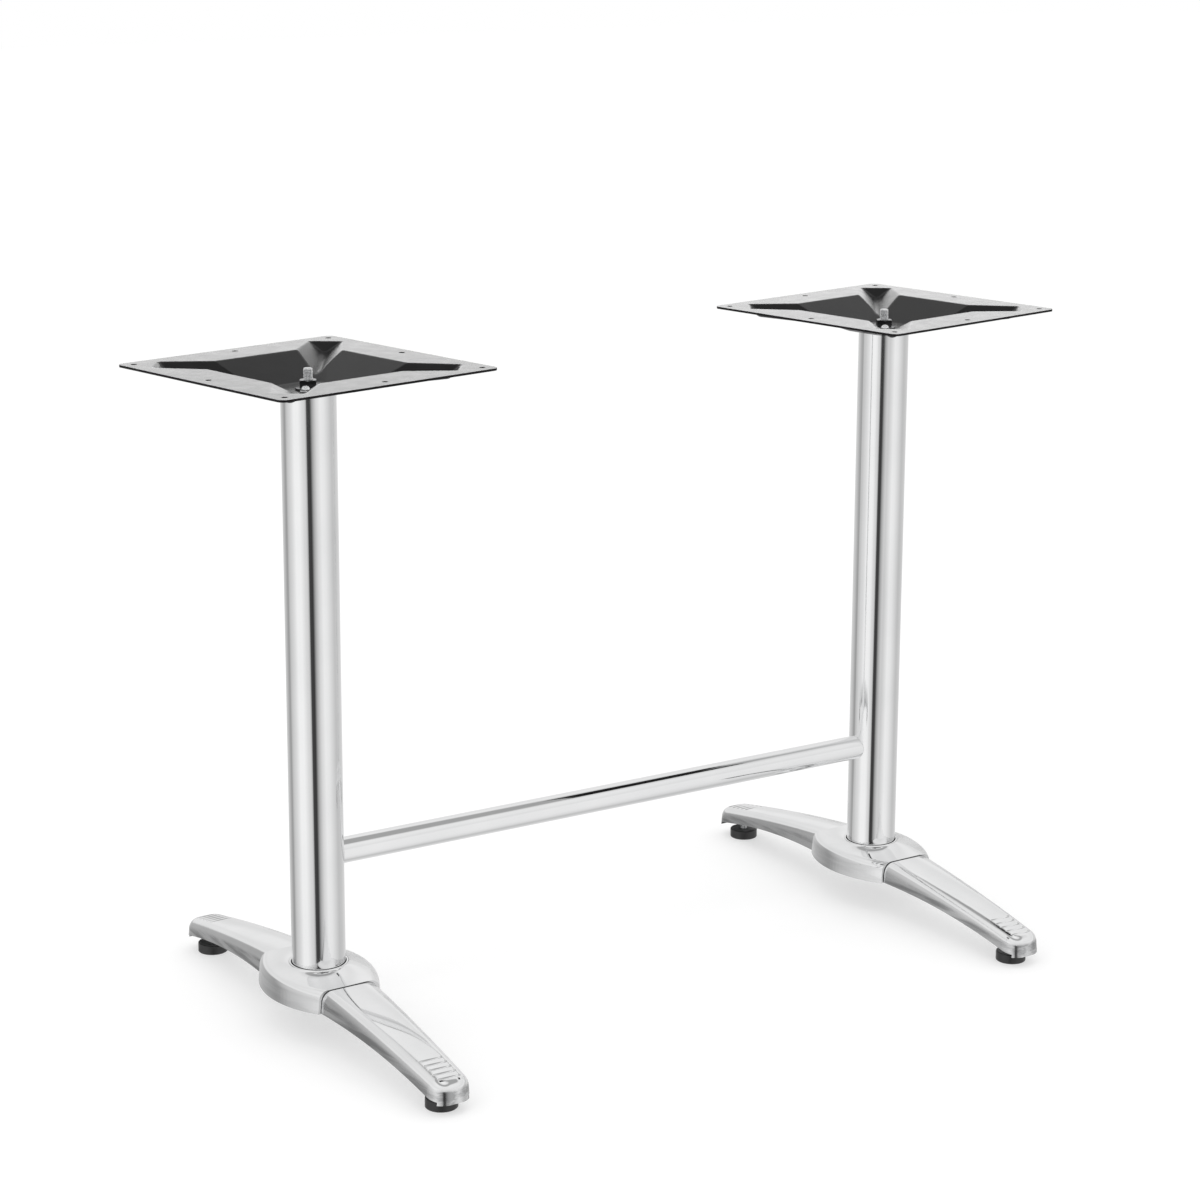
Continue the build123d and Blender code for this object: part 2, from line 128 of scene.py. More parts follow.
def addSplit(tree, vector):
    node = addNode(tree, "ShaderNodeSeparateXYZ")
    feed(tree, node, 0, vector)
    return node.outputs


def addVector(tree, **parts):
    # from x, y or z, what isn't given is 0
    node = addNode(tree, "ShaderNodeCombineXYZ")
    for name, value in parts.items():
        feed(tree, node, name.upper(), value)
    return node.outputs[0]


def addMath(tree, operation, *values):
    node = addNode(tree, "ShaderNodeMath", operation=operation)
    for index, value in enumerate(values):
        feed(tree, node, index, value)
    return node.outputs[0]


def addRange(tree, value, span, target=(0.0, 1.0)):
    # brings a span of values to a target span and stops at its ends
    node = addNode(tree, "ShaderNodeMapRange")
    feed(tree, node, "Value", value)
    for name, number in zip(("From Min", "From Max", "To Min", "To Max"), span + target):
        feed(tree, node, name, number)
    return node.outputs[0]


def addRamp(tree, share, stops, interpolation="LINEAR"):
    node = addNode(tree, "ShaderNodeValToRGB")
    ramp = node.color_ramp
    ramp.interpolation = interpolation
    while len(ramp.elements) > 1:
        ramp.elements.remove(ramp.elements[-1])
    for index, (at, shade) in enumerate(stops):
        stop = ramp.elements[0] if index == 0 else ramp.elements.new(at)
        stop.position = at
        stop.color = grey(shade)
    feed(tree, node, 0, share)
    return node.outputs[0]


def addMix(tree, share, first, second):
    # blends two colours, and a Mix node has one A and B socket for each kind of value
    node = addNode(tree, "ShaderNodeMix", data_type="RGBA")
    feed(tree, node, 0, share)
    colors = [index for index, socket in enumerate(node.inputs) if socket.type == "RGBA"]
    for index, value in zip(colors, (first, second)):
        feed(tree, node, index, value)
    return next(socket for socket in node.outputs if socket.type == "RGBA")


def addMixShader(tree, share, first, second):
    node = addNode(tree, "ShaderNodeMixShader")
    for index, value in enumerate((share, first.outputs[0], second.outputs[0])):
        feed(tree, node, index, value)
    return node


# studio: the brightness that polished metal sees, by the angle from the camera's side
studioValues = {
    "diffuseLight": 1.0,
    "background": 1.0,
    "aroundStops": (      # share of a turn from -180 to 180 degrees about the camera's azimuth
        (0.00, 0.80), (0.11, 0.60), (0.19, 0.34), (0.225, 0.60), (0.29, 0.78), (0.335, 0.97), (0.39, 0.97),
        (0.47, 0.68), (0.575, 0.66), (0.645, 0.92), (0.69, 0.88), (0.80, 0.58), (0.86, 0.62), (1.00, 0.80),
    ),
    "riseRule": (         # how far height rules the brightness, from straight down to straight up
        (0.0, 0.0), (0.512, 0.0), (0.55, 0.8), (0.60, 0.9),
        (0.64, 0.9), (0.76, 0.8), (0.80, 1.0), (1.0, 1.0),
    ),
    "riseStops": (        # brightness by height, over the same range
        (0.0, 0.90), (0.56, 0.90), (0.62, 0.82), (0.70, 0.88), (0.75, 0.92),
        (0.785, 0.80), (0.815, 0.40), (0.86, 0.40), (0.90, 0.80), (1.0, 1.0),
    ),
    "cardReach": 27.0,    # degrees each side of the camera that the dark card covers
    "cardLow": -2.2,      # metres
    "cardHigh": 0.22,
    "cardStops": (        # share of the card from its left edge, as the camera sees it
        (0.0, 0.80), (0.20, 0.72), (0.29, 0.55), (0.36, 0.06), (0.56, 0.045), (0.62, 0.16),
        (0.70, 0.36), (0.83, 0.54), (1.0, 0.70),
    ),
}


def makeWorld(v):
    world = bpy.data.worlds.new("studio")
    bpy.context.scene.world = world
    world.use_nodes = True
    tree = world.node_tree
    tree.nodes.clear()

    def addBackground(color, strength=1.0):
        node = addNode(tree, "ShaderNodeBackground")
        feed(tree, node, "Color", color)
        feed(tree, node, "Strength", strength)
        return node

    toward = addSplit(tree, addCoord(tree, "Generated"))
    front = addMath(tree, "MULTIPLY", toward["Y"], -1.0)
    around = addMath(tree, "ARCTAN2", toward["X"], front)
    fromCamera = addMath(tree, "SUBTRACT", around, math.radians(cameraValues["azimuth"]))
    wrapped = addMath(tree, "WRAP", fromCamera, math.pi, -math.pi)
    aroundShare = addRange(tree, wrapped, (-math.pi, math.pi))
    aroundShade = addRamp(tree, aroundShare, v["aroundStops"])

    rise = addMath(tree, "ARCSINE", toward["Z"])
    riseShare = addRange(tree, rise, (-math.pi / 2, math.pi / 2))
    riseRule = addRamp(tree, riseShare, v["riseRule"], "EASE")
    riseShade = addRamp(tree, riseShare, v["riseStops"], "EASE")
    room = addMix(tree, riseRule, aroundShade, riseShade)

    path = addNode(tree, "ShaderNodeLightPath").outputs
    seen = addBackground(grey(1.0), v["background"])
    mirrored = addBackground(room)
    lit = addBackground(grey(1.0), v["diffuseLight"])
    glossy = addMath(tree, "MAXIMUM", path["Is Glossy Ray"], path["Is Transmission Ray"])
    fromObject = addMixShader(tree, glossy, lit, mirrored)
    final = addMixShader(tree, path["Is Camera Ray"], fromObject, seen)
    feed(tree, addNode(tree, "ShaderNodeOutputWorld"), 0, final.outputs[0])


def emptyMaterial(name):
    material = bpy.data.materials.new(name)
    material.use_nodes = True
    material.node_tree.nodes.clear()
    return material, material.node_tree


def flatSheet(name, corners, material):
    mesh = bpy.data.meshes.new(name)
    mesh.from_pydata(corners, [], [(0, 1, 2, 3)])
    mesh.materials.append(material)
    sheet = bpy.data.objects.new(name, mesh)
    bpy.context.scene.collection.objects.link(sheet)
    return sheet


def makeCard(v):
    # upright card with a dark middle at the camera's place, seen only in the polish
    away = Vector(cameraValues["place"]).to_2d()
    half = away.length * math.tan(math.radians(v["cardReach"]))
    material, tree = emptyMaterial("darkCard")
    spot = addSplit(tree, addCoord(tree, "Object"))
    share = addRange(tree, spot["X"], (-half, half))
    glow = addNode(tree, "ShaderNodeEmission")
    feed(tree, glow, "Color", addRamp(tree, share, v["cardStops"]))
    feed(tree, addNode(tree, "ShaderNodeOutputMaterial"), 0, glow.outputs[0])
    low, high = v["cardLow"], v["cardHigh"]
    corners = [(-half, 0, low), (half, 0, low), (half, 0, high), (-half, 0, high)]
    card = flatSheet("darkCard", corners, material)
    turn = math.atan2(away.x, -away.y)
    card.matrix_world = Matrix.Translation((away.x, away.y, 0)) @ Matrix.Rotation(turn, 4, "Z")
    card.visible_camera = False
    card.visible_diffuse = False
    card.visible_shadow = False
    card.visible_transmission = False


floorValues = {
    "size": 30.0,          # metres
    "shadowShare": 0.52,   # brightness of the lit part of the floor that shadows take away
    "glow": 0.50,          # camera rays only, brings the open floor to white
    "bounce": 0.75,
}


def makeFloor(v):
    material, tree = emptyMaterial("paleFloor")
    path = addNode(tree, "ShaderNodeLightPath").outputs
    shaded = addNode(tree, "ShaderNodeBsdfDiffuse")
    feed(tree, shaded, "Color", grey(v["shadowShare"]))
    glow = addNode(tree, "ShaderNodeEmission")
    feed(tree, glow, "Strength", v["glow"])
    seen = addNode(tree, "ShaderNodeAddShader")
    feed(tree, seen, 0, shaded.outputs[0])
    feed(tree, seen, 1, glow.outputs[0])
    bounce = addNode(tree, "ShaderNodeBsdfDiffuse")
    feed(tree, bounce, "Color", grey(v["bounce"]))
    clear = addNode(tree, "ShaderNodeBsdfTransparent")
    # the polish sees the studio through the floor, so that the dark card shows down to the feet
    other = addMixShader(tree, path["Is Glossy Ray"], bounce, clear)
    final = addMixShader(tree, path["Is Camera Ray"], other, seen)
    feed(tree, addNode(tree, "ShaderNodeOutputMaterial"), 0, final.outputs[0])
    half = v["size"] / 2
    corners = [(-half, -half, 0), (half, -half, 0), (half, half, 0), (-half, half, 0)]
    floor = flatSheet("floor", corners, material)


lampValues = {   # places and sizes in metres
    "overheadSoftbox": {"place": (0.0, -0.2, 3.2), "aim": (0, 0, 0.3), "size": (2.6, 2.6), "watts": 10.0},
    "leftSoftbox": {"place": (-2.8, -1.2, 2.0), "aim": (0, 0, 0.3), "size": (1.6, 2.2), "watts": 8.0},
    "backStrip": {
        "place": (1.65, 2.5, 1.2), "aim": (0, 0, 0.72), "size": (4.0, 0.8), "watts": 18.0,
        "lights": ("left_top_plate", "right_top_plate"),   # nothing else catches it
    },
}


def makeLamp(name, v):
    data = bpy.data.lights.new(name, "AREA")
    data.shape = "RECTANGLE"
    data.size, data.size_y = v["size"]
    data.energy = v["watts"]
    lamp = bpy.data.objects.new(name, data)
    lamp.visible_camera = False
    lamp.visible_glossy = "lights" in v
    aim = Vector(v["aim"]) - Vector(v["place"])
    turn = aim.to_track_quat("-Z", "Y").to_matrix().to_4x4()
    lamp.matrix_world = Matrix.Translation(v["place"]) @ turn
    bpy.context.scene.collection.objects.link(lamp)
    if "lights" in v:
        receivers = bpy.data.collections.new(name)
        for node in v["lights"]:
            receivers.objects.link(nodes[node])
        lamp.light_linking.receiver_collection = receivers


makeWorld(studioValues)
makeCard(studioValues)
makeFloor(floorValues)
for name, values in lampValues.items():
    makeLamp(name, values)
bpy.context.scene.view_settings.view_transform = "Standard"
print("studio set up")


# materials
columnReach = sum(corner.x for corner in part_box("right_column")) / 2   # from the middle to a column's axis


def newMaterial(name):
    material = bpy.data.materials.new(name)
    material.use_nodes = True
    return material, material.node_tree, material.node_tree.nodes["Principled BSDF"]


def addNoise(tree, scale, detail, stretch=(1, 1, 1)):
    # noise in the part's own coordinates, as a value from 0 to 1
    mapping = addNode(tree, "ShaderNodeMapping")
    feed(tree, mapping, "Vector", addCoord(tree, "Object"))
    feed(tree, mapping, "Scale", stretch)
    noise = addNode(tree, "ShaderNodeTexNoise")
    feed(tree, noise, "Vector", mapping.outputs[0])
    feed(tree, noise, "Scale", scale)
    feed(tree, noise, "Detail", detail)
    return noise.outputs[0]


def addBump(tree, height, distance, before=None):
    bump = addNode(tree, "ShaderNodeBump")
    feed(tree, bump, "Strength", 1.0)
    feed(tree, bump, "Distance", distance)
    feed(tree, bump, "Height", height)
    if before is not None:
        feed(tree, bump, "Normal", before)
    return bump.outputs[0]


# a span is the part of a noise, or of a normal's reach, over which one finish turns into the next
polishValues = {
    "tint": (0.900, 0.902, 0.905, 1.0),
    "worn": (0.865, 0.868, 0.872, 1.0),
    "wornSpan": (0.35, 0.70),
    "smooth": 0.035,         # roughness
    "hazy": 0.085,
    "hazySpan": (0.30, 0.75),
    "hazeDetail": 4.0,
}
tubeValues = {
    **polishValues,
    "haze": 14.0,            # to the metre, as every noise below
    "lineFine": 420.0,       # drawing lines, across the tube and along it
    "lineLong": 3.0,
    "lineDetail": 4.0,
    "lineDepth": 0.0000012,  # metres
}


def polishedTube(name, axis, v):
    material, tree, surface = newMaterial(name)
    stretch = [v["lineLong"] if letter == axis else v["lineFine"] for letter in "XYZ"]
    line = addNoise(tree, 1.0, v["lineDetail"], stretch)
    haze = addNoise(tree, v["haze"], v["hazeDetail"])
    color = addMix(tree, addRange(tree, haze, v["wornSpan"]), v["tint"], v["worn"])
    feed(tree, surface, "Base Color", color)
    feed(tree, surface, "Metallic", 1.0)
    feed(tree, surface, "Roughness", addRange(tree, haze, v["hazySpan"], (v["smooth"], v["hazy"])))
    feed(tree, surface, "Normal", addBump(tree, line, v["lineDepth"]))
    return material


castingValues = {
    **polishValues,
    "haze": 26.0,
    "ripple": 22.0,
    "rippleDetail": 1.0,
    "rippleStretch": (1.6, 0.7, 1.0),
    "rippleDepth": 0.00009,  # metres, how far the hand polished tops ripple
    "crown": 4.0,            # to the metre, how the polished tops curve from side to side
    "mark": 60.0,            # long marks on the sides, partly marks that the mould left, partly painted reflection of the shaded floor
    "markDetail": 5.0,
    "markStretch": (1.0, 0.16, 2.0),
    "markSpan": (0.42, 0.60),
    "uprightSpan": (0.42, 0.16),            # how far a normal tilts up or down on an upright side
    "unevenSpan": (0.20, 0.60),             # part of the marks' noise that the side's finish follows
    "unevenShare": (0.55, 1.0),             # share of the side's own finish, the rest is polish
    "underSpan": (-0.35, -0.65),            # how far a normal looks down under the castings
    "castTint": (0.52, 0.525, 0.53, 1.0),   # there, where no wheel reaches
    "castRough": 0.46,
    "sand": 1500.0,
    "sandDetail": 2.0,
    "sandDepth": 0.00012,    # metres
    "gapTint": (0.03, 0.03, 0.031, 1.0),    # shadow lines between column, hub and arms
    "gapRadius": 0.0301,     # metres from the column's axis
    "gapLow": 0.055,         # metres above the floor, the line is only at the top of the socket
    "seamReach": 0.068,      # metres from the column's axis to the seam between hub and arm
    "endFacing": 0.7,        # a face that looks along the arm by more is its hidden end wall
}
hubValues = {
    **castingValues,
    # painted shade: the hub's upright sides get a darker tint and darker marks, partly a satin finish,
    # partly standing for the shaded floor they mirror
    "sideTintWithShade": (0.80, 0.803, 0.807, 1.0),
    "sideMarkWithShade": (0.73, 0.733, 0.737, 1.0),
    "sideRough": 0.13,
    "shoulder": 0.0,         # to the cubic metre, how much steeper a top falls away at its edges
    "seamGap": 0.0,          # metres from the seam that its shadow line covers
}
armValues = {
    **castingValues,
    # painted shade: the arms' upright sides get a darker tint and darker marks, partly a satin finish,
    # partly standing for the shaded floor they mirror
    "sideTintWithShade": (0.70, 0.703, 0.707, 1.0),
    "sideMarkWithShade": (0.40, 0.403, 0.407, 1.0),
    "sideRough": 0.20,
    "shoulder": 5000.0,
    "seamGap": 0.0016,
}


def shadowLines(tree, spot, facing, acrossSquare, v):
    # 1 where the column enters the hub and where an arm meets it, 0 elsewhere
    reachSquare = addMath(tree, "ADD", acrossSquare, addMath(tree, "POWER", spot["Y"], 2.0))
    inSocket = addMath(tree, "LESS_THAN", addMath(tree, "SQRT", reachSquare), v["gapRadius"])
    atTop = addMath(tree, "GREATER_THAN", spot["Z"], v["gapLow"])
    along = addMath(tree, "ABSOLUTE", spot["Y"])
    fromSeam = addMath(tree, "ABSOLUTE", addMath(tree, "SUBTRACT", along, v["seamReach"]))
    atSeam = addMath(tree, "LESS_THAN", fromSeam, v["seamGap"])
    outside = addMath(tree, "LESS_THAN", addMath(tree, "ABSOLUTE", facing["Y"]), v["endFacing"])
    socketGap = addMath(tree, "MULTIPLY", inSocket, atTop)
    seamGap = addMath(tree, "MULTIPLY", atSeam, outside)
    return addMath(tree, "MAXIMUM", socketGap, seamGap)


def polishedCasting(name, v):
    material, tree, surface = newMaterial(name)
    spot = addSplit(tree, addCoord(tree, "Object"))
    facing = addSplit(tree, addCoord(tree, "Normal"))
    haze = addNoise(tree, v["haze"], v["hazeDetail"])
    mark = addNoise(tree, v["mark"], v["markDetail"], v["markStretch"])
    offAxis = addMath(tree, "SUBTRACT", addMath(tree, "ABSOLUTE", spot["X"]), columnReach)
    acrossSquare = addMath(tree, "POWER", offAxis, 2.0)

    # where each finish lies
    under = addRange(tree, facing["Z"], v["underSpan"])
    upright = addRange(tree, addMath(tree, "ABSOLUTE", facing["Z"]), v["uprightSpan"])
    uneven = addRange(tree, mark, v["unevenSpan"], v["unevenShare"])
    side = addMath(tree, "MULTIPLY", upright, uneven)
    gap = shadowLines(tree, spot, facing, acrossSquare, v)

    polish = addMix(tree, addRange(tree, haze, v["wornSpan"]), v["tint"], v["worn"])
    # the sides' darker tint and marks are partly painted shade
    markedWithShade = addMix(tree, addRange(tree, mark, v["markSpan"]), v["sideTintWithShade"], v["sideMarkWithShade"])
    color = addMix(tree, side, polish, markedWithShade)
    color = addMix(tree, under, color, v["castTint"])
    feed(tree, surface, "Base Color", addMix(tree, gap, color, v["gapTint"]))
    feed(tree, surface, "Metallic", 1.0)

    rough = addRange(tree, haze, v["hazySpan"], (v["smooth"], v["hazy"]))
    for share, target in ((side, v["sideRough"]), (under, v["castRough"]), (gap, v["castRough"])):
        more = addMath(tree, "MULTIPLY", addMath(tree, "SUBTRACT", target, rough), share)
        rough = addMath(tree, "ADD", rough, more)
    feed(tree, surface, "Roughness", rough)

    ripple = addNoise(tree, v["ripple"], v["rippleDetail"], v["rippleStretch"])
    rippled = addBump(tree, ripple, v["rippleDepth"])
    steepness = addMath(tree, "MULTIPLY_ADD", acrossSquare, -v["shoulder"], -v["crown"])
    crowned = addBump(tree, addMath(tree, "MULTIPLY", acrossSquare, steepness), 1.0, rippled)
    sand = addMath(tree, "MULTIPLY", addNoise(tree, v["sand"], v["sandDetail"]), under)
    feed(tree, surface, "Normal", addBump(tree, sand, v["sandDepth"], crowned))
    return material


platedValues = {
    "cloud": 140.0,          # to the metre
    "cloudDetail": 5.0,
    "cloudSpan": (0.3, 0.7),
    "stretch": (1, 1, 1),
    "finer": 9.0,            # how much smaller the pits are than the clouds
    "pitDetail": 2.0,
}
zincValues = {
    **platedValues,
    "bright": (0.88, 0.885, 0.89, 1.0),
    "dull": (0.74, 0.745, 0.75, 1.0),
    "smooth": 0.16,
    "rough": 0.34,
    "pitDepth": 0.00002,     # metres
}
# painted shade: bright zinc nuts and washers coloured near black, standing for the black pan and the hub
# that they mirror
nutShadeValues = {
    **platedValues,
    "bright": (0.30, 0.303, 0.306, 1.0),
    "dull": (0.22, 0.223, 0.226, 1.0),
    "smooth": 0.09,
    "rough": 0.20,
    "pitDepth": 0.00001,
}
machinedValues = {
    **platedValues,
    "cloud": 90.0,
    "stretch": (1, 1, 12),   # turned, so the lines run round
    "bright": (0.76, 0.765, 0.77, 1.0),
    "dull": (0.66, 0.665, 0.67, 1.0),
    "smooth": 0.22,
    "rough": 0.36,
    "pitDepth": 0.00001,
}


def platedMetal(name, v):
    material, tree, surface = newMaterial(name)
    cloud = addNoise(tree, v["cloud"], v["cloudDetail"], v["stretch"])
    pits = addNoise(tree, v["cloud"] * v["finer"], v["pitDetail"], v["stretch"])
    share = addRange(tree, cloud, v["cloudSpan"])
    feed(tree, surface, "Base Color", addMix(tree, share, v["bright"], v["dull"]))
    feed(tree, surface, "Metallic", 1.0)
    feed(tree, surface, "Roughness", addRange(tree, cloud, v["cloudSpan"], (v["smooth"], v["rough"])))
    feed(tree, surface, "Normal", addBump(tree, pits, v["pitDepth"]))
    return material


blackValues = {
    "cloud": 60.0,
    "cloudDetail": 5.0,
    "cloudSpan": (0.3, 0.7),
}
coatValues = {
    **blackValues,
    "dark": (0.003, 0.003, 0.0031, 1.0),
    "light": (0.007, 0.007, 0.0072, 1.0),
    "grains": 520.0,         # to the metre
    "height": 0.00004,       # metres
    "smooth": 0.24,
    "rough": 0.27,
    "shine": 0.17,           # specular level
    "clear": 0.0,            # weight of a clear coat
}
plasticValues = {
    **blackValues,
    "dark": (0.010, 0.010, 0.0104, 1.0),
    "light": (0.018, 0.018, 0.0185, 1.0),
    "grains": 1600.0,
    "height": 0.00005,
    "smooth": 0.36,
    "rough": 0.52,
    "shine": 0.5,
    "clear": 0.25,
}


def grainedBlack(name, v):
    # powder coat or moulded plastic: small rounded grains that catch a low light
    material, tree, surface = newMaterial(name)
    cells = addNode(tree, "ShaderNodeTexVoronoi", feature="SMOOTH_F1")
    feed(tree, cells, "Scale", v["grains"])
    feed(tree, cells, "Vector", addCoord(tree, "Object"))
    grain = addMath(tree, "SUBTRACT", 1.0, cells.outputs["Distance"])
    cloud = addNoise(tree, v["cloud"], v["cloudDetail"])
    share = addRange(tree, cloud, v["cloudSpan"])
    feed(tree, surface, "Base Color", addMix(tree, share, v["dark"], v["light"]))
    feed(tree, surface, "Roughness", addRange(tree, cloud, v["cloudSpan"], (v["smooth"], v["rough"])))
    feed(tree, surface, "Specular IOR Level", v["shine"])
    feed(tree, surface, "Coat Weight", v["clear"])
    feed(tree, surface, "Coat Roughness", v["smooth"])
    feed(tree, surface, "Normal", addBump(tree, grain, v["height"]))
    return material


columnPolish = polishedTube("polishedColumn", "Z", tubeValues)
stretcherPolish = polishedTube("polishedStretcher", "X", tubeValues)
hubPolish = polishedCasting("polishedHub", hubValues)
armPolish = polishedCasting("polishedArm", armValues)
zinc = platedMetal("zincPlate", zincValues)
shadeDarkenedZinc = platedMetal("zincWithPaintedShade", nutShadeValues)
machined = platedMetal("machinedAluminium", machinedValues)
powderCoat = grainedBlack("blackPowderCoat", coatValues)
plastic = grainedBlack("blackPlastic", plasticValues)
bySlot = {
    "polished_aluminium": hubPolish,
    "machined_aluminium": machined,
    "zinc_steel": zinc,
    "black_steel": powderCoat,
    "black_plastic": plastic,
}
byNode = {"stretcher": stretcherPolish}   # nodes with a finish of their own
for side in sides:
    byNode[f"{side}_column"] = columnPolish
    for end in ends:
        byNode[f"{side}_{end}_arm"] = armPolish
    for level in levels:
        # painted shade: the nuts take the zinc that is painted dark
        byNode[f"{side}_{level}_nut"] = shadeDarkenedZinc
for part in frame["record"]["subparts"]:
    piece = nodes[part["node"]]
    piece.data.materials.clear()
    piece.data.materials.append(byNode.get(part["node"], bySlot[part["material_slot"]]))
print("materials set")


# what every added piece needs
def standMesh(mesh, node):
    # a mesh made upright on the origin goes to the place of its node
    low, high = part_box(node)
    mesh.transform(Matrix.Translation(((low.x + high.x) / 2, (low.y + high.y) / 2, low.z)))


def smoothMesh(mesh, sharpAngle):
    mesh.shade_smooth()
    mesh.set_sharp_from_angle(angle=math.radians(sharpAngle))


def finishPiece(piece, body, node):
    bpy.context.scene.collection.objects.link(piece)
    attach(piece, body)
    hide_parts(node)


# threaded rods and studs: a Geometry Nodes tree makes one screwed end and repeats it at the other end
threadValues = {
    "around": 36,               # steps round the rod
    "perPitch": 10,             # steps along one turn
    "flankSpan": (0.06, 0.44),  # share of a pitch from a crest's middle to both ends of its flank
    "shankShare": 0.96,         # of the crests' radius
    "merge": 0.000001,          # metres
    "sharpAngle": 50.0,         # degrees
    "slot": "zinc_steel",
}
rodValues = {
    **threadValues,
    "radius": 0.005,            # metres, as the other sizes
    "pitch": 0.0015,
    "depth": 0.00092,
    "threaded": 0.026,
    "ends": 2,
}
studValues = {
    **threadValues,
    "radius": 0.004,
    "pitch": 0.00125,
    "depth": 0.00077,
    "threaded": 0.0215,
    "ends": 1,
}


def addJoin(tree, *parts):
    node = addNode(tree, "GeometryNodeJoinGeometry")
    for part in parts:
        feed(tree, node, 0, part)
    return node.outputs[0]


def addScrewedEnd(tree, given, v):
    # a flat grid, one unit across and one unit long, rolled up into a thread with a bevelled tip
    grid = addNode(tree, "GeometryNodeMeshGrid")
    feed(tree, grid, "Size X", 1.0)
    feed(tree, grid, "Size Y", 1.0)
    feed(tree, grid, "Vertices X", addMath(tree, "ADD", given["Around"], 1.0))
    feed(tree, grid, "Vertices Y", given["Rows"])
    flat = addSplit(tree, addNode(tree, "GeometryNodeInputPosition").outputs[0])
    turns = addMath(tree, "ADD", flat["X"], 0.5)
    down = addMath(tree, "MULTIPLY", addMath(tree, "ADD", flat["Y"], 0.5), given["Threaded"])
    screwed = addMath(tree, "ADD", addMath(tree, "DIVIDE", down, given["Pitch"]), turns)
    phase = addMath(tree, "FRACT", screwed)
    offCrest = addMath(tree, "ABSOLUTE", addMath(tree, "SUBTRACT", phase, 0.5))
    cut = addMath(tree, "MULTIPLY", addRange(tree, offCrest, v["flankSpan"]), given["Depth"])
    flank = addMath(tree, "SUBTRACT", given["Radius"], cut)
    core = addMath(tree, "SUBTRACT", given["Radius"], given["Depth"])
    bevel = addMath(tree, "ADD", core, down)
    radius = addMath(tree, "MINIMUM", flank, bevel)
    angle = addMath(tree, "MULTIPLY", turns, 2 * math.pi)
    rolled = addNode(tree, "GeometryNodeSetPosition")
    feed(tree, rolled, "Geometry", grid.outputs["Mesh"])
    feed(tree, rolled, "Position", addVector(
        tree,
        x=addMath(tree, "MULTIPLY", radius, addMath(tree, "COSINE", angle)),
        y=addMath(tree, "MULTIPLY", radius, addMath(tree, "SINE", angle)),
        z=addMath(tree, "MULTIPLY", down, -1.0),
    ))
    face = addNode(tree, "GeometryNodeMeshCircle", fill_type="NGON")
    feed(tree, face, "Vertices", given["Around"])
    feed(tree, face, "Radius", core)
    closed = addNode(tree, "GeometryNodeMergeByDistance")
    feed(tree, closed, "Geometry", addJoin(tree, face.outputs[0], rolled.outputs[0]))
    feed(tree, closed, "Distance", v["merge"])
    return closed.outputs[0]


def repeatEnd(tree, given, end):
    # at the top of the rod, and turned over at its foot
    line = addNode(tree, "GeometryNodeMeshLine", mode="OFFSET")
    feed(tree, line, "Count", given["Ends"])
    feed(tree, line, "Start Location", addVector(tree, z=given["Length"]))
    feed(tree, line, "Offset", addVector(tree, z=addMath(tree, "MULTIPLY", given["Length"], -1.0)))
    index = addNode(tree, "GeometryNodeInputIndex").outputs[0]
    rotation = addNode(tree, "FunctionNodeEulerToRotation")
    feed(tree, rotation, 0, addVector(tree, x=addMath(tree, "MULTIPLY", index, math.pi)))
    placed = addNode(tree, "GeometryNodeInstanceOnPoints")
    feed(tree, placed, "Points", line.outputs[0])
    feed(tree, placed, "Instance", end)
    feed(tree, placed, "Rotation", rotation.outputs[0])
    return placed.outputs[0]


def addShank(tree, given, v):
    # plain shank between the screwed ends, a little thinner than the crests
    threaded = addMath(tree, "MULTIPLY", given["Threaded"], given["Ends"])
    plain = addMath(tree, "SUBTRACT", given["Length"], threaded)
    lower = addMath(tree, "SUBTRACT", given["Ends"], 1.0)
    low = addMath(tree, "MULTIPLY", given["Threaded"], lower)
    middle = addMath(tree, "ADD", low, addMath(tree, "MULTIPLY", plain, 0.5))
    shank = addNode(tree, "GeometryNodeMeshCylinder")
    feed(tree, shank, "Vertices", given["Around"])
    feed(tree, shank, "Radius", addMath(tree, "MULTIPLY", given["Radius"], v["shankShare"]))
    feed(tree, shank, "Depth", plain)
    lifted = addNode(tree, "GeometryNodeTransform")
    feed(tree, lifted, "Geometry", shank.outputs["Mesh"])
    feed(tree, lifted, "Translation", addVector(tree, z=middle))
    return lifted.outputs[0]


def makeThreadTree(v):
    tree = bpy.data.node_groups.new("threadedRod", "GeometryNodeTree")
    inputs = {
        "NodeSocketFloat": ("Length", "Radius", "Pitch", "Depth", "Threaded"),
        "NodeSocketInt": ("Rows", "Around", "Ends"),
        "NodeSocketMaterial": ("Material",),
    }
    for kind, names in inputs.items():
        for name in names:
            tree.interface.new_socket(name=name, in_out="INPUT", socket_type=kind)
    tree.interface.new_socket(name="Geometry", in_out="OUTPUT", socket_type="NodeSocketGeometry")
    given = addNode(tree, "NodeGroupInput").outputs
    screwed = repeatEnd(tree, given, addScrewedEnd(tree, given, v))
    whole = addJoin(tree, addShank(tree, given, v), screwed)
    real = addNode(tree, "GeometryNodeRealizeInstances")
    feed(tree, real, 0, whole)
    painted = addNode(tree, "GeometryNodeSetMaterial")
    feed(tree, painted, "Geometry", real.outputs[0])
    feed(tree, painted, "Material", given["Material"])
    feed(tree, addNode(tree, "NodeGroupOutput"), 0, painted.outputs[0])
    return tree


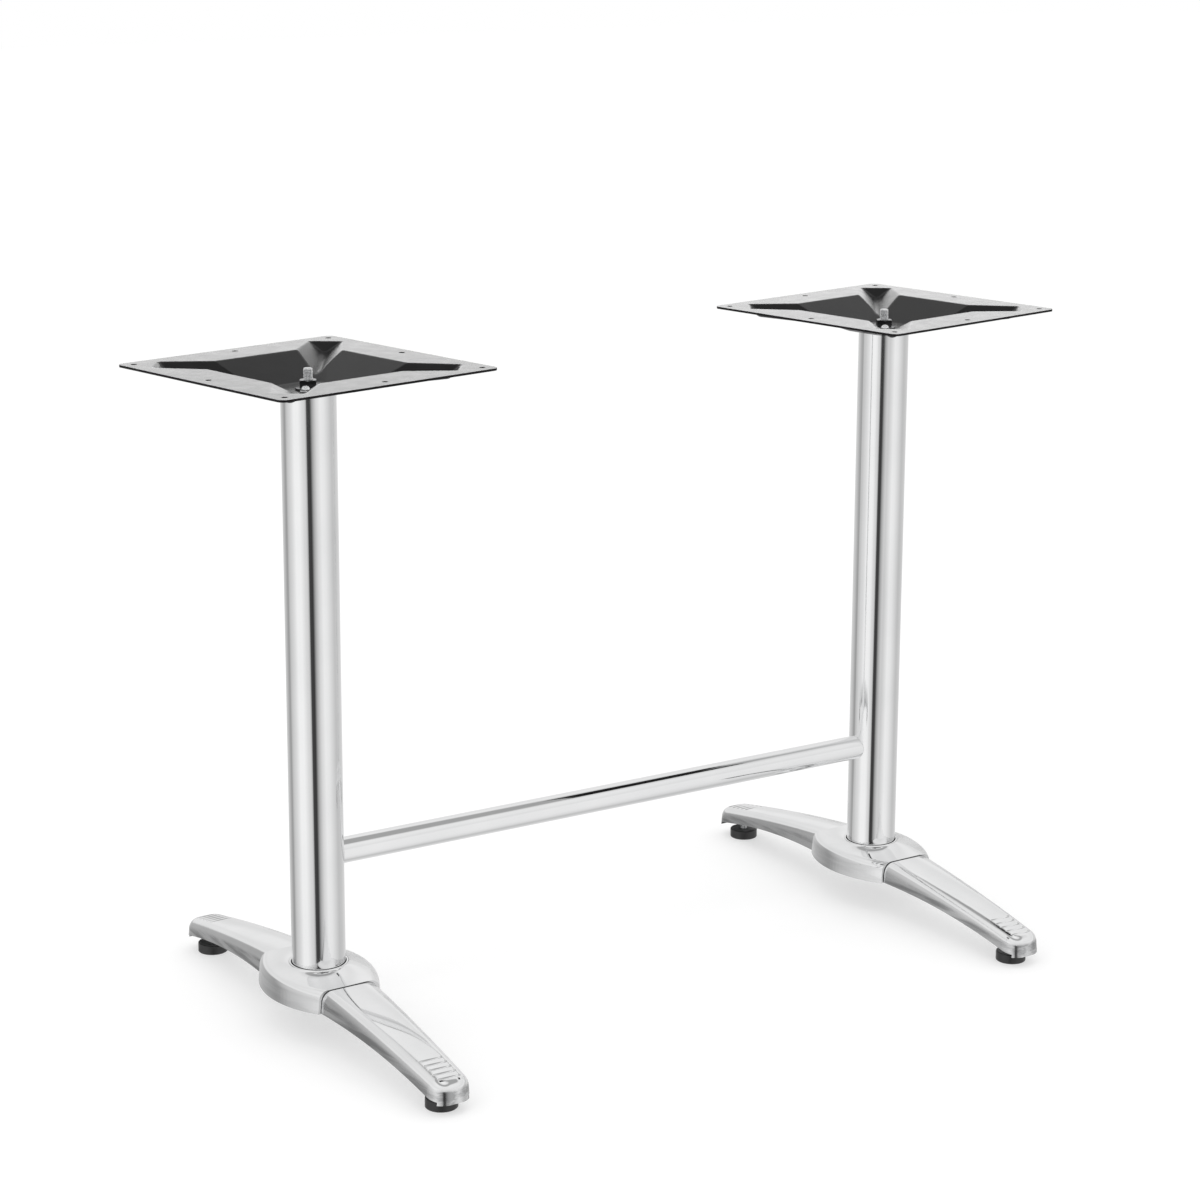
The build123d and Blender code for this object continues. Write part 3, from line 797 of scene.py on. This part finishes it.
def makeThreaded(name, node, body, v, tree):
    low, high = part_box(node)
    piece = bpy.data.objects.new(name, bpy.data.meshes.new(name))
    bpy.context.scene.collection.objects.link(piece)
    modifier = piece.modifiers.new("thread", "NODES")
    modifier.node_group = tree
    settings = {
        "Length": high.z - low.z,
        "Radius": v["radius"],
        "Pitch": v["pitch"],
        "Depth": v["depth"],
        "Threaded": v["threaded"],
        "Rows": round(v["threaded"] / v["pitch"] * v["perPitch"]),
        "Around": v["around"],
        "Ends": v["ends"],
        "Material": zinc,
    }
    for socket in tree.interface.items_tree:
        if socket.name in settings:
            modifier[socket.identifier] = settings[socket.name]
    made = bpy.data.meshes.new_from_object(piece.evaluated_get(bpy.context.evaluated_depsgraph_get()))
    piece.modifiers.clear()
    bpy.context.scene.collection.objects.unlink(piece)
    made.name = name
    standMesh(made, node)
    smoothMesh(made, v["sharpAngle"])
    piece.data = made
    finishPiece(piece, body, node)


threadTree = makeThreadTree(threadValues)
for side in sides:
    makeThreaded(f"{side}TieRod", f"{side}_tie_rod", "base", rodValues, threadTree)
    for end in ends:
        glide = f"{side}_{end}_glide"
        makeThreaded(f"{side}{end.capitalize()}Stud", f"{glide}_stud", glide, studValues, threadTree)
print("threads made")


# washers with the rolled edge that a stamped one has
washerValues = {
    "hole": 0.0053,          # metres, its radius
    "edge": 0.0004,          # metres, radius of the rolled edge
    "edgeSteps": 4,
    "around": 96,            # steps
    "merge": 0.0000001,      # metres
    "sharpAngle": 40.0,      # degrees
    "slot": "zinc_steel",
}


def washerOutline(outer, tall, v):
    # closed outline of (radius, height), a quarter turn at each of its four corners
    edge = v["edge"]
    corners = (
        (outer - edge, edge, -90), (outer - edge, tall - edge, 0),
        (v["hole"] + edge, tall - edge, 90), (v["hole"] + edge, edge, 180),
    )
    outline = []
    for radius, height, start in corners:
        for step in range(v["edgeSteps"] + 1):
            angle = math.radians(start + 90 * step / v["edgeSteps"])
            outline.append((radius + edge * math.cos(angle), height + edge * math.sin(angle)))
    return outline


def makeWasher(name, node, v):
    low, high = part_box(node)
    outline = washerOutline((high.x - low.x) / 2, high.z - low.z, v)
    form = bmesh.new()
    rings = []
    for step in range(v["around"]):
        angle = 2 * math.pi * step / v["around"]
        rings.append([form.verts.new((r * math.cos(angle), r * math.sin(angle), z)) for r, z in outline])
    for here, after in zip(rings, rings[1:] + rings[:1]):
        for i in range(len(outline)):
            j = (i + 1) % len(outline)
            form.faces.new((here[i], after[i], after[j], here[j]))
    bmesh.ops.remove_doubles(form, verts=form.verts, dist=v["merge"])
    bmesh.ops.recalc_face_normals(form, faces=form.faces)
    mesh = bpy.data.meshes.new(name)
    form.to_mesh(mesh)
    form.free()
    smoothMesh(mesh, v["sharpAngle"])
    standMesh(mesh, node)
    # painted shade: the washers take the zinc that is painted dark
    mesh.materials.append(shadeDarkenedZinc)
    finishPiece(bpy.data.objects.new(name, mesh), "base", node)


for side in sides:
    for level in levels:
        makeWasher(f"{side}{level.capitalize()}Washer", f"{side}_{level}_washer", washerValues)
print("washers made")


# plate screws: domed head with a cross recess, on a captive washer
screwValues = {
    "headRadius": 0.0048,    # metres
    "headRim": 0.0014,
    "domeRise": 0.0036,
    "flangeRadius": 0.006,
    "flangeHeight": 0.002,
    "flangeEdge": 0.0003,
    "shankRadius": 0.0025,
    "tipBevel": 0.0005,
    "recessDepth": 0.0021,
    "recessReach": 0.0027,
    "recessHalf": 0.0007,
    "recessWall": 0.00035,
    "recessRise": 0.45,      # share of its depth that the recess loses towards its ends
    "rings": 30,
    "around": 96,            # steps
    "sharpAngle": 40.0,      # degrees
    "slot": "zinc_steel",
}


def smoothStep(low, high, value):
    share = min(max((value - low) / (high - low), 0.0), 1.0)
    return share * share * (3 - 2 * share)


def screwTop(x, y, top, v):
    # height of the domed head, with the cross pressed into it
    reach = math.hypot(x, y)
    domeRadius = (v["headRadius"] ** 2 + v["domeRise"] ** 2) / (2 * v["domeRise"])
    dome = top - domeRadius + math.sqrt(max(domeRadius ** 2 - reach ** 2, 0.0))
    across = min(abs(x), abs(y))
    inside = 1 - smoothStep(v["recessHalf"], v["recessHalf"] + v["recessWall"], across)
    inside *= 1 - smoothStep(v["recessReach"] - v["recessWall"], v["recessReach"], reach)
    floor = top - v["recessDepth"] * (1 - v["recessRise"] * reach / v["recessReach"])
    return dome + (min(floor, dome) - dome) * inside


def makeScrew(name, node, v):
    low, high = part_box(node)
    top = high.z - low.z
    headLow = top - v["domeRise"] - v["headRim"]
    flangeLow = headLow - v["flangeHeight"]
    skirt = (   # radius and height, from the head's rim down to the tip
        (v["headRadius"], headLow),
        (v["flangeRadius"] - v["flangeEdge"], headLow),
        (v["flangeRadius"], headLow - v["flangeEdge"]),
        (v["flangeRadius"], flangeLow),
        (v["shankRadius"], flangeLow),
        (v["shankRadius"], v["tipBevel"]),
        (v["shankRadius"] - v["tipBevel"], 0.0),
    )
    form = bmesh.new()

    def addRing(reach, height=None):
        # without a height the ring lies on the head
        ring = []
        for step in range(v["around"]):
            angle = 2 * math.pi * step / v["around"]
            x, y = reach * math.cos(angle), reach * math.sin(angle)
            ring.append(form.verts.new((x, y, screwTop(x, y, top, v) if height is None else height)))
        return ring

    rings = [addRing(v["headRadius"] * ring / v["rings"]) for ring in range(1, v["rings"] + 1)]
    rings += [addRing(reach, height) for reach, height in skirt]
    for inner, outer in zip(rings, rings[1:]):
        for step in range(v["around"]):
            after = (step + 1) % v["around"]
            form.faces.new((inner[step], outer[step], outer[after], inner[after]))
    centre = form.verts.new((0, 0, screwTop(0, 0, top, v)))
    for step in range(v["around"]):
        form.faces.new((centre, rings[0][step], rings[0][(step + 1) % v["around"]]))
    form.faces.new(list(reversed(rings[-1])))
    bmesh.ops.recalc_face_normals(form, faces=form.faces)
    mesh = bpy.data.meshes.new(name)
    form.to_mesh(mesh)
    form.free()
    smoothMesh(mesh, v["sharpAngle"])
    standMesh(mesh, node)
    mesh.materials.append(zinc)
    finishPiece(bpy.data.objects.new(name, mesh), "base", node)


for side in sides:
    makeScrew(f"{side}PlateScrew", f"{side}_plate_screw", screwValues)
print("screws made")
